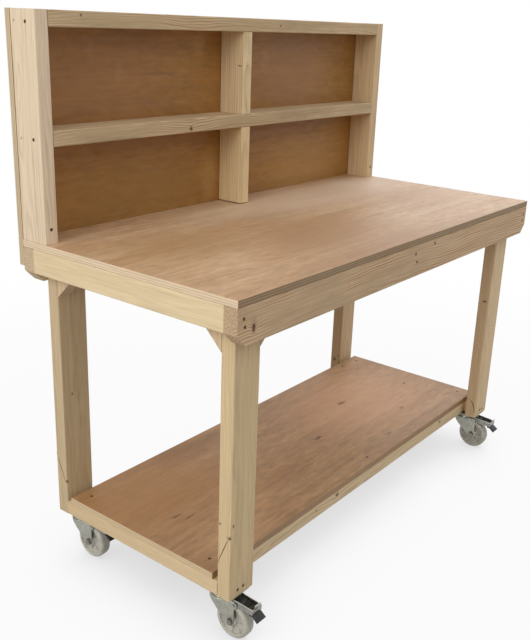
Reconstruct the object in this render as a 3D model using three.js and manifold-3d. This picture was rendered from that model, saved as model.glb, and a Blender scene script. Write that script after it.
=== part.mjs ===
// A mobile timber workbench with a back panel of four open bays and four braked castors.
// Millimetres, +Z up, +X to the right, -Y towards the user. The origin is on the floor,
// below the middle of the whole bench.
import * as THREE from "three";
import { mergeVertices } from "three/addons/utils/BufferGeometryUtils.js";
import Module from "manifold-3d";

const wasm = await Module();
wasm.setup();

// Driving dimensions of the bench
const benchLength = 1500;
const benchDepth = 700;
const worktopHeight = 900;
const backHeight = 542;

// Stock: planed softwood in two widths, and one thickness of hardwood-faced plywood
const timberThick = 38;
const timberWide = 89;
const timberNarrow = 63;
const timberEase = 3;
const plyThick = 18;
const plyEase = 0.8;
const sawnEase = 0.8;
const seatGap = 0.3;

// Top frame
const railCornerCut = 28;

// Lower shelf
const shelfSetback = 16;

// Back panel
const midShelfRise = 233;
const backPlyLap = 68;
const dividerGap = 3;

// Castor: top plate and swivel head
const castorHeight = 128;
const plateWidth = 80;
const plateLength = 105;
const plateThick = 3;
const plateCorner = 9;
const plateInset = 1.2;
const screwSpacingX = 60;
const screwSpacingY = 80;
const screwSlotRadius = 4.5;
const screwSlotLength = 13;
const raceRadius = 29.5;
const raceLip = 2.5;
const raceBore = 21;
const raceDepth = 6.4;
const kingpinRadius = 6;
const kingpinHeadRadius = 10;
const kingpinHeadThick = 4;

// Castor: wheel
const wheelDiameter = 100;
const wheelWidth = 32;
const wheelShoulder = 4;
const rimInnerRadius = 38;
const rimChamfer = 2;
const webThick = 8;
const hubRadius = 14;
const ribCount = 8;
const ribThick = 3;
const ribRecess = 4;

// Castor: fork and axle
const swivelOffset = 38;
const crownRadius = 33;
const crownThick = 3;
const crownDrop = 17;
const cheekThick = 2.5;
const cheekInside = 18.5;
const cheekFootRadius = 11;
const cheekRearReach = 29;
const cheekRearDrop = 15;
const cheekCurveDrop = 33;
const axleRadius = 5;
const boltFlats = 15;
const boltHeadThick = 5;
const nutThick = 7;

// Castor: brake lever and its pedal
const brakePivotAhead = 13;
const brakePivotRise = 53.5;
const brakePinRadius = 3;
const brakePinHead = 5;
const brakePinHeadThick = 1.6;
const brakeTravel = THREE.MathUtils.degToRad(12);
const brakeEar = 7;
const leverSideGap = 0.7;
const leverThick = 2;
const leverLength = 54;
const leverBoss = 5;
const leverRear = 8;
const leverTopRear = 12.5;
const leverTopFront = 9.5;
const leverFloorStart = 14;
const leverFloorEnd = 42;
const leverTabHeight = 17.5;
const leverTabLean = 2;
const leverTabWidth = 22;
const shoeStart = 16;
const shoeEnd = 28;
const shoeWidth = 24;
const shoeGap = 0.5;
const shoeSteps = 4;
const traySink = 3.5;
const trayThick = 5;
const padReach = 16;
const padDrop = 13;
const padThick = 6;
const padWidth = 34;

// Running clearance of pins and bearings, the overrun of every cut, and the facets of round forms
const runningGap = 0.3;
const overrun = 1;
const wheelFacets = 24;
const roundFacets = 24;
const smallFacets = 12;
const cornerSteps = 2;

const halfLength = benchLength / 2;
const axleHeight = wheelDiameter / 2;
const topUnderside = worktopHeight - plyThick - seatGap;
const legFoot = castorHeight + seatGap;

const unitX = new THREE.Vector3(1, 0, 0);
const unitY = new THREE.Vector3(0, 1, 0);
const unitZ = new THREE.Vector3(0, 0, 1);

// Turns an extrusion from local Z to the named axis; the outline's own axes follow in order.
const extrusionTurn = {
  x: new THREE.Matrix4().makeBasis(unitY, unitZ, unitX),
  y: new THREE.Matrix4().makeBasis(unitZ, unitX, unitY),
  z: new THREE.Matrix4(),
};
const outlineAxes = { x: ["y", "z"], y: ["z", "x"], z: ["x", "y"] };

const finishes = {
  pine: { color: 0xd2ba8d, roughness: 0.7, metalness: 0 },
  plywood: { color: 0xb98f6b, roughness: 0.6, metalness: 0 },
  zincSteel: { color: 0xa3a29c, roughness: 0.35, metalness: 0.9 },
  nylon: { color: 0xcfcdc4, roughness: 0.45, metalness: 0 },
  blackPlastic: { color: 0x232322, roughness: 0.5, metalness: 0 },
};

function makeMesh(name, geometry, finish) {
  const mesh = new THREE.Mesh(geometry, new THREE.MeshStandardMaterial(finish));
  mesh.name = name;
  return mesh;
}

function toSolid(geometry) {
  const bare = geometry.clone();
  bare.deleteAttribute("normal");
  bare.deleteAttribute("uv");
  const merged = mergeVertices(bare);
  return new wasm.Manifold(
    new wasm.Mesh({
      numProp: 3,
      vertProperties: merged.attributes.position.array,
      triVerts: new Uint32Array(merged.index.array),
    }),
  );
}

function toGeometry(solid) {
  const mesh = solid.getMesh();
  const geometry = new THREE.BufferGeometry();
  geometry.setAttribute("position", new THREE.BufferAttribute(mesh.vertProperties, 3));
  geometry.setIndex(new THREE.BufferAttribute(mesh.triVerts, 1));
  geometry.computeVertexNormals();
  return geometry;
}

// Joins the geometries in the first list and cuts away those in the second.
function shaped(joined, removed = []) {
  let solid = toSolid(joined[0]);
  for (const geometry of joined.slice(1)) {
    solid = solid.add(toSolid(geometry));
  }
  for (const geometry of removed) {
    solid = solid.subtract(toSolid(geometry));
  }
  return toGeometry(solid);
}

// An outline extruded from one place to another along an axis.
// The outline lies in Y and Z along "x", in Z and X along "y", and in X and Y along "z".
function prism(shape, axis, from, to, curveSegments = cornerSteps) {
  const geometry = new THREE.ExtrudeGeometry(shape, {
    depth: to - from,
    bevelEnabled: false,
    curveSegments,
  });
  geometry.translate(0, 0, from);
  geometry.applyMatrix4(extrusionTurn[axis]);
  return geometry;
}

function polygon(points) {
  return new THREE.Shape(points.map(([u, v]) => new THREE.Vector2(u, v)));
}

function roundedRectangle(width, height, radius) {
  const right = width / 2;
  const top = height / 2;
  const shape = new THREE.Shape();
  shape.moveTo(radius - right, -top);
  shape.lineTo(right - radius, -top);
  shape.absarc(right - radius, radius - top, radius, -Math.PI / 2, 0);
  shape.lineTo(right, top - radius);
  shape.absarc(right - radius, top - radius, radius, 0, Math.PI / 2);
  shape.lineTo(radius - right, top);
  shape.absarc(radius - right, top - radius, radius, Math.PI / 2, Math.PI);
  shape.lineTo(-right, radius - top);
  shape.absarc(radius - right, radius - top, radius, Math.PI, Math.PI * 1.5);
  return shape;
}

function rod(radius, axis, from, to, facets = smallFacets) {
  const shape = new THREE.Shape();
  shape.absarc(0, 0, radius, 0, Math.PI * 2);
  return prism(shape, axis, from, to, facets / 2);
}

// A span is the lowest and highest place of a piece along one axis.
const middle = (span) => (span[0] + span[1]) / 2;
const extent = (span) => span[1] - span[0];
const mirrored = (span) => [-span[1], -span[0]];
const spanFrom = (start, size) => [start, start + size];
const spanTo = (end, size) => [end - size, end];
const spanAbout = (centre, size) => [centre - size / 2, centre + size / 2];
const fromBack = (span) => [benchDepth - span[1], benchDepth - span[0]];

function placeAt(mesh, spans) {
  mesh.position.set(middle(spans.x), middle(spans.y), middle(spans.z));
  return mesh;
}

// Planed timber filling the spans, its grain along one axis and its four long edges eased.
function timberGeometry(spans, grain) {
  const [first, second] = outlineAxes[grain];
  const section = roundedRectangle(extent(spans[first]), extent(spans[second]), timberEase);
  const half = extent(spans[grain]) / 2;
  return prism(section, grain, -half, half);
}

function timber(name, spans, grain) {
  return placeAt(makeMesh(name, timberGeometry(spans, grain), finishes.pine), spans);
}

// A flat piece filling the spans, with the edges round its face just broken.
function flatPiece(shape, thin, thickness, ease) {
  const geometry = new THREE.ExtrudeGeometry(shape, {
    depth: thickness - ease * 2,
    bevelThickness: ease,
    bevelSize: ease,
    bevelOffset: -ease,
    bevelSegments: 1,
  });
  geometry.translate(0, 0, ease - thickness / 2);
  geometry.applyMatrix4(extrusionTurn[thin]);
  return geometry;
}

function plywood(name, spans, thin) {
  const [first, second] = outlineAxes[thin];
  const right = extent(spans[first]) / 2;
  const top = extent(spans[second]) / 2;
  const sheet = polygon([[-right, -top], [right, -top], [right, top], [-right, top]]);
  const geometry = flatPiece(sheet, thin, extent(spans[thin]), plyEase);
  return placeAt(makeMesh(name, geometry, finishes.plywood), spans);
}

// Places shared by the top frame, the legs and the shelf, measured from the bench's front
const railFrontY = spanFrom(0, timberThick);
const railRearY = fromBack(railFrontY);
const betweenRailsY = [railFrontY[1] + seatGap, railRearY[0] - seatGap];
const endRailX = spanFrom(-halfLength, timberThick);
const wideRailZ = spanTo(topUnderside, timberWide);
const narrowRailZ = spanTo(topUnderside, timberNarrow);
const legX = spanFrom(endRailX[1] + seatGap, timberWide);
const legFrontY = spanFrom(railFrontY[1] + seatGap, timberThick);
const legRearY = fromBack(legFrontY);
const legZ = [legFoot, topUnderside];

// Long rails run the full length; their lower end corners are sawn off at 45 degrees.
function longRail(name, spanY) {
  const spans = { x: [-halfLength, halfLength], y: spanY, z: wideRailZ };
  const bottom = -extent(wideRailZ) / 2;
  const far = halfLength + overrun;
  const low = bottom - overrun;
  const cutEnd = far - railCornerCut - overrun * 2;
  const cutTop = low + railCornerCut + overrun * 2;
  const halfThick = timberThick / 2 + overrun;
  const corners = [1, -1].map((side) => {
    const outline = [[low, side * cutEnd], [low, side * far], [cutTop, side * far]];
    return prism(polygon(side > 0 ? outline : outline.reverse()), "y", -halfThick, halfThick);
  });
  const geometry = shaped([timberGeometry(spans, "x")], corners);
  return placeAt(makeMesh(name, geometry, finishes.pine), spans);
}

// Corner braces are right-angled blocks, sawn from the wide timber at 45 degrees.
const braceLeg = timberWide * Math.SQRT2;

// Two triangle sides lie against the top and the leg; reach is +1 or -1 along the run axis.
function braceOutline(swapped, reach) {
  const points = [[0, 0], [reach * braceLeg, 0], [0, -braceLeg]];
  const ordered = swapped ? points.map(([u, v]) => [v, u]) : points;
  return polygon(swapped === reach > 0 ? ordered : ordered.reverse());
}

function braceAlongY(name, spanX, y, reach) {
  const geometry = flatPiece(braceOutline(false, reach), "x", extent(spanX), sawnEase);
  const mesh = makeMesh(name, geometry, finishes.pine);
  mesh.position.set(middle(spanX), y, topUnderside);
  return mesh;
}

function braceAlongX(name, x, spanY, reach) {
  const geometry = flatPiece(braceOutline(true, reach), "y", extent(spanY), sawnEase);
  const mesh = makeMesh(name, geometry, finishes.pine);
  mesh.position.set(x, middle(spanY), topUnderside);
  return mesh;
}

function makeTopFrame() {
  const group = new THREE.Group();
  const bearerX = spanAbout(0, timberThick);
  const topSpans = {
    x: [-halfLength, halfLength],
    y: [0, benchDepth],
    z: spanTo(worktopHeight, plyThick),
  };
  group.add(
    plywood("worktop_ply", topSpans, "z"),
    longRail("front_long_rail", railFrontY),
    longRail("rear_long_rail", railRearY),
    timber("left_end_rail", { x: endRailX, y: betweenRailsY, z: narrowRailZ }, "y"),
    timber("right_end_rail", { x: mirrored(endRailX), y: betweenRailsY, z: narrowRailZ }, "y"),
    timber("top_cross_bearer", { x: bearerX, y: betweenRailsY, z: narrowRailZ }, "y"),
  );
  return group;
}

// The four corners: where each leg stands, and which way its braces and its castor reach
const corners = [
  { name: "front_left", side: -1, legY: legFrontY, inward: 1 },
  { name: "front_right", side: 1, legY: legFrontY, inward: 1 },
  { name: "rear_left", side: -1, legY: legRearY, inward: -1 },
  { name: "rear_right", side: 1, legY: legRearY, inward: -1 },
];

function makeLeg({ name, side, legY, inward }) {
  const group = new THREE.Group();
  const spanX = side < 0 ? legX : mirrored(legX);
  const outerX = side < 0 ? spanX[0] : spanX[1];
  const innerX = side < 0 ? spanX[1] : spanX[0];
  const innerY = inward > 0 ? legY[1] : legY[0];
  const endBraceX = side < 0 ? spanFrom(outerX, timberThick) : spanTo(outerX, timberThick);
  group.add(
    timber(name + "_leg", { x: spanX, y: legY, z: legZ }, "z"),
    braceAlongY(name + "_end_brace", endBraceX, innerY + inward * seatGap, inward),
    braceAlongX(name + "_rail_brace", innerX - side * seatGap, legY, -side),
  );
  return group;
}

// Lower shelf: end rails between the legs, long rails between the end rails, all laid flat
function makeShelf() {
  const group = new THREE.Group();
  const betweenLegsY = [legFrontY[1] + seatGap, legRearY[0] - seatGap];
  const spanZ = spanFrom(legFoot, timberThick);
  const endX = spanFrom(legX[0], timberNarrow);
  const frontY = spanFrom(legFrontY[1] + shelfSetback, timberNarrow);
  const rearY = fromBack(frontY);
  const longX = [endX[1] + seatGap, -endX[1] - seatGap];
  const bearerY = [frontY[1] + seatGap, rearY[0] - seatGap];
  const sheet = {
    x: [legX[0], -legX[0]],
    y: [frontY[0], rearY[1]],
    z: spanFrom(spanZ[1] + seatGap, plyThick),
  };
  group.add(
    timber("shelf_left_end_rail", { x: endX, y: betweenLegsY, z: spanZ }, "y"),
    timber("shelf_right_end_rail", { x: mirrored(endX), y: betweenLegsY, z: spanZ }, "y"),
    timber("shelf_front_rail", { x: longX, y: frontY, z: spanZ }, "x"),
    timber("shelf_rear_rail", { x: longX, y: rearY, z: spanZ }, "x"),
    timber("shelf_cross_bearer", { x: spanAbout(0, timberNarrow), y: bearerY, z: spanZ }, "y"),
    plywood("shelf_ply", sheet, "z"),
  );
  return group;
}

// Back panel: a box of boards on the worktop's rear edge, closed by plywood behind
function makeBackPanel() {
  const group = new THREE.Group();
  const boardY = spanTo(benchDepth, timberWide);
  const top = worktopHeight + backHeight;
  const uprightX = spanFrom(-halfLength, timberThick);
  const uprightZ = [worktopHeight + seatGap, top];
  const innerX = [uprightX[1] + seatGap, -uprightX[1] - seatGap];
  const midShelfZ = spanFrom(worktopHeight + midShelfRise, timberThick);
  const topRailZ = spanTo(top, timberThick);
  const dividerX = spanAbout(0, timberThick);
  const lowerZ = [worktopHeight + dividerGap, midShelfZ[0] - seatGap];
  const upperZ = [midShelfZ[1] + seatGap, topRailZ[0] - seatGap];
  const sheet = {
    x: [-halfLength, halfLength],
    y: spanFrom(benchDepth + seatGap, plyThick),
    z: [worktopHeight - backPlyLap, top],
  };
  group.add(
    timber("left_upright", { x: uprightX, y: boardY, z: uprightZ }, "z"),
    timber("right_upright", { x: mirrored(uprightX), y: boardY, z: uprightZ }, "z"),
    timber("back_top_rail", { x: innerX, y: boardY, z: topRailZ }, "x"),
    timber("back_mid_shelf", { x: innerX, y: boardY, z: midShelfZ }, "x"),
    timber("back_lower_divider", { x: dividerX, y: boardY, z: lowerZ }, "z"),
    timber("back_upper_divider", { x: dividerX, y: boardY, z: upperZ }, "z"),
    plywood("back_panel_ply", sheet, "y"),
  );
  return group;
}

// Castor frame: the swivel axis is at x = 0, y = 0, the floor at z = 0, and the wheel
// trails towards -Y. Heights of the swivel head follow from the plate downwards.
const plateUnderside = castorHeight - plateThick;
const raceUnderside = plateUnderside - raceDepth;
const crownTop = castorHeight - crownDrop;
const crownUnderside = crownTop - crownThick;
const axleY = -swivelOffset;
const cheekOutside = cheekInside + cheekThick;

// A pressed bearing ring about the swivel axis, wider at its root than at its lip
function raceRing(rootZ, lipZ) {
  const lipRadius = raceRadius - raceLip;
  const profile = [
    [raceBore, rootZ],
    [raceRadius, rootZ],
    [lipRadius, lipZ],
    [raceBore, lipZ],
    [raceBore, rootZ],
  ];
  const ordered = lipZ > rootZ ? profile : profile.reverse();
  return spun(ordered, roundFacets);
}

// Revolves radius and height pairs about Z.
function spun(points, facets) {
  const profile = points.map(([radius, height]) => new THREE.Vector2(radius, height));
  const geometry = new THREE.LatheGeometry(profile, facets);
  geometry.rotateX(Math.PI / 2);
  return geometry;
}

// Top plate: pressed steel with four slots and the upper bearing race
function castorPlate() {
  const plate = roundedRectangle(plateWidth, plateLength, plateCorner);
  const top = castorHeight;
  const low = plateUnderside - overrun;
  const high = top + overrun;
  const slots = [];
  for (const sideX of [-1, 1]) {
    for (const sideY of [-1, 1]) {
      const slot = roundedRectangle(screwSlotLength, screwSlotRadius * 2, screwSlotRadius);
      const geometry = prism(slot, "z", low, high, 1);
      geometry.translate((sideX * screwSpacingX) / 2, (sideY * screwSpacingY) / 2, 0);
      slots.push(geometry);
    }
  }
  const bore = rod(kingpinRadius + runningGap, "z", low, high);
  const race = raceRing(plateUnderside + plateThick / 2, raceUnderside);
  return shaped([prism(plate, "z", plateUnderside, top), race], [...slots, bore]);
}

// Kingpin: a rivet from under the crown up into the plate
function castorKingpin() {
  const headTop = crownUnderside - runningGap;
  const headLow = headTop - kingpinHeadThick;
  const chamfer = kingpinHeadThick / 2;
  return spun(
    [
      [0, headLow],
      [kingpinHeadRadius - chamfer, headLow],
      [kingpinHeadRadius, headLow + chamfer],
      [kingpinHeadRadius, headTop],
      [kingpinRadius, headTop],
      [kingpinRadius, castorHeight - seatGap],
      [0, castorHeight - seatGap],
    ],
    smallFacets,
  );
}

// The side of the fork, from its foot round the axle up to the crown and the brake's ear
function cheekOutline() {
  const shape = new THREE.Shape();
  const pivotY = axleY - brakePivotAhead;
  const pivotZ = axleHeight + brakePivotRise;
  const rearY = cheekRearReach;
  const footAngle = -Math.PI / 4;
  const foot = cheekFootRadius;
  shape.moveTo(axleY - foot, axleHeight);
  shape.absarc(axleY, axleHeight, foot, Math.PI, footAngle + Math.PI * 2);
  shape.quadraticCurveTo(
    rearY - cheekRearDrop / 2,
    crownTop - cheekCurveDrop,
    rearY,
    crownTop - cheekRearDrop,
  );
  shape.lineTo(rearY, crownTop);
  shape.lineTo(pivotY, crownTop);
  shape.absarc(pivotY, crownTop - brakeEar, brakeEar, Math.PI / 2, Math.PI);
  shape.lineTo(pivotY - brakeEar, pivotZ);
  shape.quadraticCurveTo(pivotY - brakeEar, pivotZ - brakeEar, axleY - foot, pivotZ - brakeEar * 2);
  return shape;
}

function castorFork() {
  const outline = cheekOutline();
  const crown = spun(
    [
      [0, crownUnderside],
      [crownRadius, crownUnderside],
      [crownRadius, crownTop - crownThick / 3],
      [crownRadius - crownThick / 3, crownTop],
      [0, crownTop],
    ],
    roundFacets,
  );
  const race = raceRing(crownTop - crownThick / 2, raceUnderside - runningGap);
  const pin = rod(brakePinRadius, "x", -cheekOutside, cheekOutside);
  const pinHeads = [-1, 1].map((side) => {
    const outer = side * (cheekOutside + brakePinHeadThick);
    const inner = side * (cheekOutside - cheekThick / 2);
    return rod(brakePinHead, "x", Math.min(outer, inner), Math.max(outer, inner));
  });
  for (const geometry of [pin, ...pinHeads]) {
    geometry.translate(0, axleY - brakePivotAhead, axleHeight + brakePivotRise);
  }
  const bore = rod(kingpinRadius + runningGap, "z", crownUnderside - overrun, castorHeight);
  const reach = cheekOutside + overrun;
  const axleHole = rod(axleRadius + runningGap, "x", -reach, reach);
  axleHole.translate(0, axleY, axleHeight);
  const cheeks = [
    prism(outline, "x", -cheekOutside, -cheekInside),
    prism(outline, "x", cheekInside, cheekOutside),
  ];
  return shaped([crown, race, ...cheeks, pin, ...pinHeads], [bore, axleHole]);
}

// A hexagon along X, given by the width across its flats
function hexagon(flats, from, to) {
  const corner = flats / 2 / Math.cos(Math.PI / 6);
  const points = [];
  for (let side = 0; side < 6; side += 1) {
    const angle = (side * Math.PI) / 3;
    points.push([corner * Math.cos(angle), corner * Math.sin(angle)]);
  }
  return prism(polygon(points), "x", from, to);
}

// Axle: a hexagon bolt and nut clamping the fork's cheeks about the wheel
function castorAxle() {
  const face = cheekOutside + runningGap;
  const shank = rod(axleRadius, "x", -face - boltHeadThick / 2, face + nutThick + boltHeadThick / 2);
  const head = hexagon(boltFlats, -face - boltHeadThick, -face);
  const nut = hexagon(boltFlats, face, face + nutThick);
  const geometry = shaped([shank, head, nut]);
  geometry.translate(0, axleY, axleHeight);
  return geometry;
}

// Wheel: one moulding with a rim, a thin web, a hub and radial ribs on both faces
function castorWheel() {
  const bore = axleRadius + runningGap;
  const hubEnd = cheekInside - runningGap;
  const rimEnd = wheelWidth / 2;
  const web = webThick / 2;
  const tread = wheelDiameter / 2;
  const shoulderShares = [0, 0.5, 0.87, 1];
  const half = [
    [bore, hubEnd],
    [hubRadius - rimChamfer, hubEnd],
    [hubRadius, hubEnd - rimChamfer],
    [hubRadius, web],
    [rimInnerRadius, web],
    [rimInnerRadius, rimEnd - rimChamfer],
    [rimInnerRadius + rimChamfer, rimEnd],
  ];
  shoulderShares.forEach((share) => {
    const fall = wheelShoulder * (1 - Math.sqrt(1 - share * share));
    half.push([tread - wheelShoulder + wheelShoulder * share, rimEnd - fall]);
  });
  const other = half.map(([radius, along]) => [radius, -along]).reverse();
  const wheel = spun([...half, ...other, half[0]].reverse(), wheelFacets);
  const ribEnd = rimEnd - ribRecess;
  const ribs = [];
  for (let index = 0; index < ribCount; index += 1) {
    const from = hubRadius - rimChamfer;
    const to = rimInnerRadius + rimChamfer;
    const side = ribThick / 2;
    const outline = polygon([[from, -side], [to, -side], [to, side], [from, side]]);
    const rib = prism(outline, "z", -ribEnd, ribEnd);
    rib.rotateZ((index * Math.PI * 2) / ribCount);
    ribs.push(rib);
  }
  const geometry = shaped([wheel, ...ribs]);
  geometry.rotateY(Math.PI / 2);
  geometry.translate(0, axleY, axleHeight);
  return geometry;
}

// Brake frame: the pivot is at y = 0, z = 0, and the lever runs forward towards -Y.
const leverOutside = cheekInside - leverSideGap;
const leverInside = leverOutside - leverThick;

// The place of a brake piece in the castor frame
function atBrakePivot(geometry) {
  geometry.translate(0, axleY - brakePivotAhead, axleHeight + brakePivotRise);
  return geometry;
}

// Lever: a steel channel with side walls, a floor, an upturned toe tab and a brake shoe
function brakeLever() {
  const wall = new THREE.Shape();
  wall.moveTo(-leverLength, -leverBoss);
  wall.lineTo(0, -leverBoss);
  wall.absarc(0, 0, leverBoss, -Math.PI / 2, 0);
  wall.lineTo(leverRear, leverBoss);
  wall.lineTo(leverRear, leverTopRear);
  wall.lineTo(-leverLength, leverTopFront);
  const walls = [
    prism(wall, "x", -leverOutside, -leverInside),
    prism(wall, "x", leverInside, leverOutside),
  ];
  const floorTop = leverThick - leverBoss;
  const floor = polygon([
    [-leverFloorEnd, -leverBoss],
    [-leverFloorStart, -leverBoss],
    [-leverFloorStart, floorTop],
    [-leverFloorEnd, floorTop],
  ]);
  const front = polygon([
    [-leverLength, -leverBoss],
    [leverThick - leverLength, -leverBoss],
    [leverThick - leverLength, leverTopFront],
    [-leverLength, leverTopFront],
  ]);
  const tabFoot = leverTopFront - leverThick;
  const tab = polygon([
    [-leverLength, tabFoot],
    [leverThick - leverLength, tabFoot],
    [leverThick - leverLength - leverTabLean, leverTabHeight],
    [-leverLength - leverTabLean, leverTabHeight],
  ]);
  const inside = leverInside + leverThick / 2;
  const parts = [
    ...walls,
    prism(floor, "x", -inside, inside),
    prism(front, "x", -inside, inside),
    prism(tab, "x", -leverTabWidth / 2, leverTabWidth / 2),
    prism(shoeOutline(), "x", -shoeWidth / 2, shoeWidth / 2),
  ];
  const hole = rod(brakePinRadius + runningGap, "x", -cheekInside, cheekInside);
  return atBrakePivot(shaped(parts, [hole]));
}

// The shoe hangs from the floor; its lower face follows the tread when the brake is on.
function shoeOutline() {
  const pivotRadius = Math.hypot(brakePivotAhead, brakePivotRise);
  const axleAngle = Math.atan2(-brakePivotRise, brakePivotAhead) - brakeTravel;
  const centreY = pivotRadius * Math.cos(axleAngle);
  const centreZ = pivotRadius * Math.sin(axleAngle);
  const radius = wheelDiameter / 2 + shoeGap;
  const points = [[-shoeStart, leverThick / 2 - leverBoss], [-shoeEnd, leverThick / 2 - leverBoss]];
  for (let step = 0; step <= shoeSteps; step += 1) {
    const y = -shoeEnd + ((shoeEnd - shoeStart) * step) / shoeSteps;
    points.push([y, centreZ + Math.sqrt(radius * radius - (y - centreY) ** 2)]);
  }
  return polygon(points);
}

// Pedal: a black moulding that fills the lever and droops in front of it as a foot pad
function brakePedal() {
  const trayRear = leverRear;
  const trayFront = leverThick - leverLength + runningGap;
  const topRear = leverTopRear - traySink;
  const topFront = leverTopFront - traySink;
  const neckRear = -leverFloorEnd - runningGap;
  const neckLow = -leverBoss - padThick;
  const padTop = -leverBoss - runningGap;
  const padFront = -leverLength - padReach;
  const padEnd = padTop - padDrop;
  const slope = Math.atan2(padDrop, padReach);
  const tray = polygon([
    [trayRear, topRear],
    [trayFront, topFront],
    [trayFront, padTop - padThick / 2],
    [neckRear, padTop - padThick / 2],
    [neckRear, topFront - trayThick],
    [trayRear, topRear - trayThick],
  ]);
  const pad = polygon([
    [trayFront, padTop],
    [padFront, padEnd],
    [padFront + padThick * Math.sin(slope), padEnd - padThick * Math.cos(slope)],
    [trayFront, neckLow],
    [neckRear, neckLow],
    [neckRear, padTop],
    [trayFront, padTop],
  ]);
  const inside = leverInside - runningGap;
  const parts = [
    prism(tray, "x", -inside, inside),
    prism(pad, "x", -padWidth / 2, padWidth / 2),
  ];
  return atBrakePivot(shaped(parts));
}

const castorPieces = [
  ["plate", castorPlate(), finishes.zincSteel],
  ["kingpin", castorKingpin(), finishes.zincSteel],
  ["fork", castorFork(), finishes.zincSteel],
  ["axle", castorAxle(), finishes.zincSteel],
  ["wheel", castorWheel(), finishes.nylon],
  ["brake_lever", brakeLever(), finishes.zincSteel],
  ["brake_pedal", brakePedal(), finishes.blackPlastic],
];

// A castor stands under each leg, its plate just inside the leg's outer face.
function makeCastor({ name, side, legY, inward }) {
  const group = new THREE.Group();
  for (const [piece, geometry, finish] of castorPieces) {
    group.add(makeMesh(name + "_castor_" + piece, geometry, finish));
  }
  const outerY = inward > 0 ? legY[0] : legY[1];
  const swivelY = outerY + inward * (plateInset + plateLength / 2);
  group.position.set(-side * middle(legX), swivelY, 0);
  return group;
}

const bench = new THREE.Group();
bench.add(
  makeTopFrame(),
  ...corners.map(makeLeg),
  makeShelf(),
  makeBackPanel(),
  ...corners.map(makeCastor),
);

// The bench is built from its front edge, then set with its middle on the origin.
const reach = new THREE.Box3().setFromObject(bench, true);
bench.position.y = -(reach.min.y + reach.max.y) / 2;

export default bench;
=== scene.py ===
import math

import bmesh
import bpy
from mathutils import Euler, Matrix, Vector


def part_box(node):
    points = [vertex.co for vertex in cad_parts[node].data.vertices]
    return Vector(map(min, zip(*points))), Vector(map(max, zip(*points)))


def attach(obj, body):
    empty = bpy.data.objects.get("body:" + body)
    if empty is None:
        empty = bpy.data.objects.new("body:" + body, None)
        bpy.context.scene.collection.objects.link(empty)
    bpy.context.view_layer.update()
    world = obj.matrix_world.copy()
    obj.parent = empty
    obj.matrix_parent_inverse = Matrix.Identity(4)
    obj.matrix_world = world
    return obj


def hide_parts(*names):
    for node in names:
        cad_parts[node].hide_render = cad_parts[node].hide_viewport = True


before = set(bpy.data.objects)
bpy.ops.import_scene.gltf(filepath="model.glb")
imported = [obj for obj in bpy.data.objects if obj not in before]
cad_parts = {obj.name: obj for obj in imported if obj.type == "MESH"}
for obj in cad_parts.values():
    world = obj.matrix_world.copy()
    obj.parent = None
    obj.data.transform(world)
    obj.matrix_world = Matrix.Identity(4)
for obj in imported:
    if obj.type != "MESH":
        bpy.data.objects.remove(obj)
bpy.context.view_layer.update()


# Top frame
# Two long rails run the full length, with two end rails and a middle bearer butted between
# them. They are planed softwood, 38 x 89 and 38 x 63 mm, with eased edges, screwed at the ends.
mm = 0.001


def linear(code):
    shares = [int(code[i:i + 2], 16) / 255 for i in (1, 3, 5)]
    return tuple(c / 12.92 if c <= 0.04045 else ((c + 0.055) / 1.055) ** 2.4 for c in shares) + (1.0,)


# A link's key is a socket's name, or its place among the sockets in use
def add(tree, kind, links=None, **settings):
    made = tree.nodes.new("ShaderNode" + kind)
    for key, value in settings.items():
        setattr(made, key, value)
    in_use = [socket for socket in made.inputs if socket.enabled]
    for key, value in (links or {}).items():
        socket = made.inputs[key] if isinstance(key, str) else in_use[key]
        if isinstance(value, bpy.types.Node):
            value = next(output for output in value.outputs if output.enabled)
        if isinstance(value, bpy.types.NodeSocket):
            tree.links.new(value, socket)
        else:
            socket.default_value = value
    return made


def new_material(name):
    made = bpy.data.materials.new(name)
    made.use_nodes = True
    made.node_tree.nodes.clear()
    return made, made.node_tree


def dress(node, material):
    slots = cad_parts[node].data.materials
    slots.clear()
    slots.append(material)


# Millimetres from the core of the piece, turned to lie along its grain, and where faces look
def wood_place(tree, node, turn, core=Vector()):
    low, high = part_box(node)
    middle = Euler(turn).to_matrix() @ ((Vector(low) + Vector(high)) / 2 / mm)
    coords = add(tree, "TexCoord")
    place = add(tree, "Mapping", {
        "Vector": coords.outputs["Object"],
        "Location": -middle - core,
        "Rotation": turn,
        "Scale": (1 / mm, 1 / mm, 1 / mm),
    })
    return place, coords.outputs["Normal"]


# Fibres, streaks and clouds in the wood, each with its size in millimetres
def wood_flecks(tree, place, sizes, detail=2.0, rough=0.5):
    stretched = add(tree, "Mapping", {"Vector": place, "Scale": [1 / size for size in sizes]})
    return add(tree, "TexNoise", {"Vector": stretched, "Scale": 1.0, "Detail": detail, "Roughness": rough})


# No tree grows straight: the grain sways to either side by up to half of sway
def swaying(tree, place, sizes, sway, detail=2.0):
    wander = wood_flecks(tree, place, sizes, detail).outputs["Color"]
    wander = add(tree, "VectorMath", {0: wander, 1: (0.5, 0.5, 0.5)}, operation="SUBTRACT")
    return add(tree, "VectorMath", {0: wander, 1: sway, 2: place}, operation="MULTIPLY_ADD")


# Each ring darkens slowly from start to peak, and ends at once where the next begins
def ring_shade(tree, rings, start, peak):
    rings = add(tree, "Math", {0: rings}, operation="FRACT")
    rise = add(tree, "MapRange", {0: rings, 1: start, 2: peak}, **gentle)
    drop = add(tree, "MapRange", {0: rings, 1: peak, 2: 1.0, 3: 1.0, 4: 0.0}, **gentle)
    return add(tree, "Math", {0: rise, 1: drop}, operation="MULTIPLY")


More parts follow.
